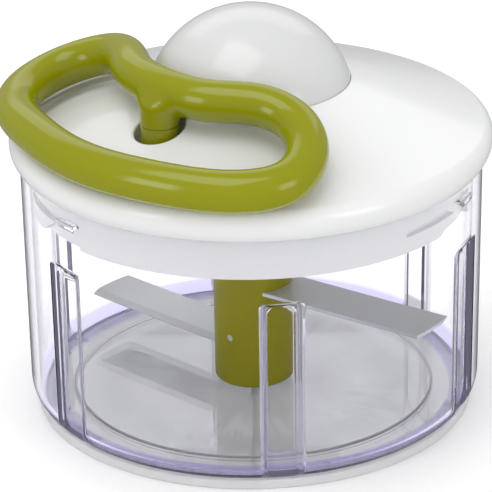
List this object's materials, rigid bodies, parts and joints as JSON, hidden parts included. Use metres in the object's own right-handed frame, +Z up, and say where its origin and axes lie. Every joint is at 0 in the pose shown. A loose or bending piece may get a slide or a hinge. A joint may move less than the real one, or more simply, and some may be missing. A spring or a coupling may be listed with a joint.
{
  "type": "pull cord food chopper",
  "caption": "Free-standing hand food chopper: clear fluted bowl, white domed lid with a green pull loop on a cord that spins flat blades through a reel.",
  "frame": {"origin": "centre of the base pad's underside, on the table", "axes": "+Z up along the bowl's axis, -Y towards the viewer of the picture, +X to the viewer's right"},
  "size_m": [0.1557, 0.1584, 0.1313],
  "materials": {
    "soft_pad": "translucent soft plastic",
    "clear_plastic": "clear, faintly violet at the edges",
    "steel": "satin",
    "seal": "soft",
    "white_gloss": "glossy white",
    "green_gloss": "glossy green",
    "olive_plastic": "satin olive green",
    "grey_plastic": "satin",
    "pale_plastic": "satin, natural acetal",
    "cord": "braided"
  },
  "bodies": {
    "bowl": {"bowl": "clear_plastic", "base_pad": "soft_pad", "bowl_pivot_pin": "steel"},
    "seal": {"lid_seal": "seal"},
    "lid": {"lid_cover": "white_gloss", "dome_cap": "white_gloss", "lid_base": "white_gloss", "lid_screws": "steel", "spring_housing": "grey_plastic", "spring_housing_lid": "grey_plastic", "housing_screws": "steel", "reel_axle": "steel", "reel_washer": "pale_plastic", "drive_bush": "pale_plastic", "cord_bush": "pale_plastic", "roller_axle": "steel", "power_spring": "steel", "cord_lead": "cord"},
    "roller": {"guide_roller": "pale_plastic"},
    "reel": {"cord_reel": "grey_plastic", "cord_winding": "cord", "drive_socket": "white_gloss", "drive_screw": "steel"},
    "handle": {"handle": "green_gloss", "handle_plug": "green_gloss", "cord_knot": "cord"},
    "blades": {"blade_hub": "olive_plastic", "hub_bushing": "pale_plastic", "bushing_pin": "steel", "lower_blade": "steel", "upper_blade": "steel"}
  },
  "joints": [
    {"name": "lid_lift", "type": "slide", "parent": "bowl", "child": "seal", "axis": [0, 0, 1], "range_m": [0, 0.12]},
    {"name": "lid_turn", "type": "hinge", "parent": "seal", "child": "lid", "pos_m": [0, 0, 0.087], "axis": [0, 0, 1], "range_deg": [0, 20]},
    {"name": "handle_pull", "type": "slide", "parent": "lid", "child": "handle", "axis": [0, 0, 1], "range_m": [0, 0.3], "stiffness_N_per_m": 14, "springref_m": -0.15, "deforming": ["cord_lead"]},
    {"name": "reel_spin", "type": "hinge", "parent": "lid", "child": "reel", "pos_m": [0, 0, 0.085], "axis": [0, 0, 1], "range_deg": [0, 1012.1], "deforming": ["power_spring"]},
    {"name": "roller_spin", "type": "hinge", "parent": "lid", "child": "roller", "pos_m": [-0.02629, -0.02486, 0.08905], "axis": [-0.9479, 0.3187, 0], "range_deg": [0, 4142.9]},
    {"name": "blade_spin", "type": "hinge", "parent": "bowl", "child": "blades", "pos_m": [0, 0, 0.02], "axis": [0, 0, 1], "range_deg": [0, 1012.1]}
  ],
  "couplings": [
    {"joint": "reel_spin", "follows": "handle_pull", "rad_per_m": 58.824},
    {"joint": "blade_spin", "follows": "handle_pull", "rad_per_m": 58.824},
    {"joint": "roller_spin", "follows": "handle_pull", "rad_per_m": 240.96}
  ]
}
